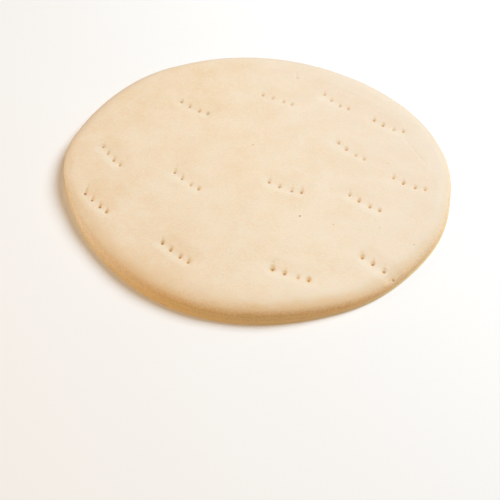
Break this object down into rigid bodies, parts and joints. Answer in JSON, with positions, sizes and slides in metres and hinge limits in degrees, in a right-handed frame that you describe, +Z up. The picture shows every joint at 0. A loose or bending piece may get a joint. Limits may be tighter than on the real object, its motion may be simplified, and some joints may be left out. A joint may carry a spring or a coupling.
{
  "type": "pizza base",
  "caption": "Pale, part-baked round pizza base with a rounded rim and rows of docking holes, ready to be topped and baked.",
  "frame": {"origin": "middle of the flat underside, which is the middle of the bottom of the base's box", "axes": "+Z up out of the docked top, +X to the right as the base is looked at from the front, -Y to the front"},
  "size_m": [0.2324, 0.231, 0.0125],
  "materials": {
    "crust": "matte"
  },
  "bodies": {
    "root": {"pizza_base": "crust"}
  },
  "joints": []
}
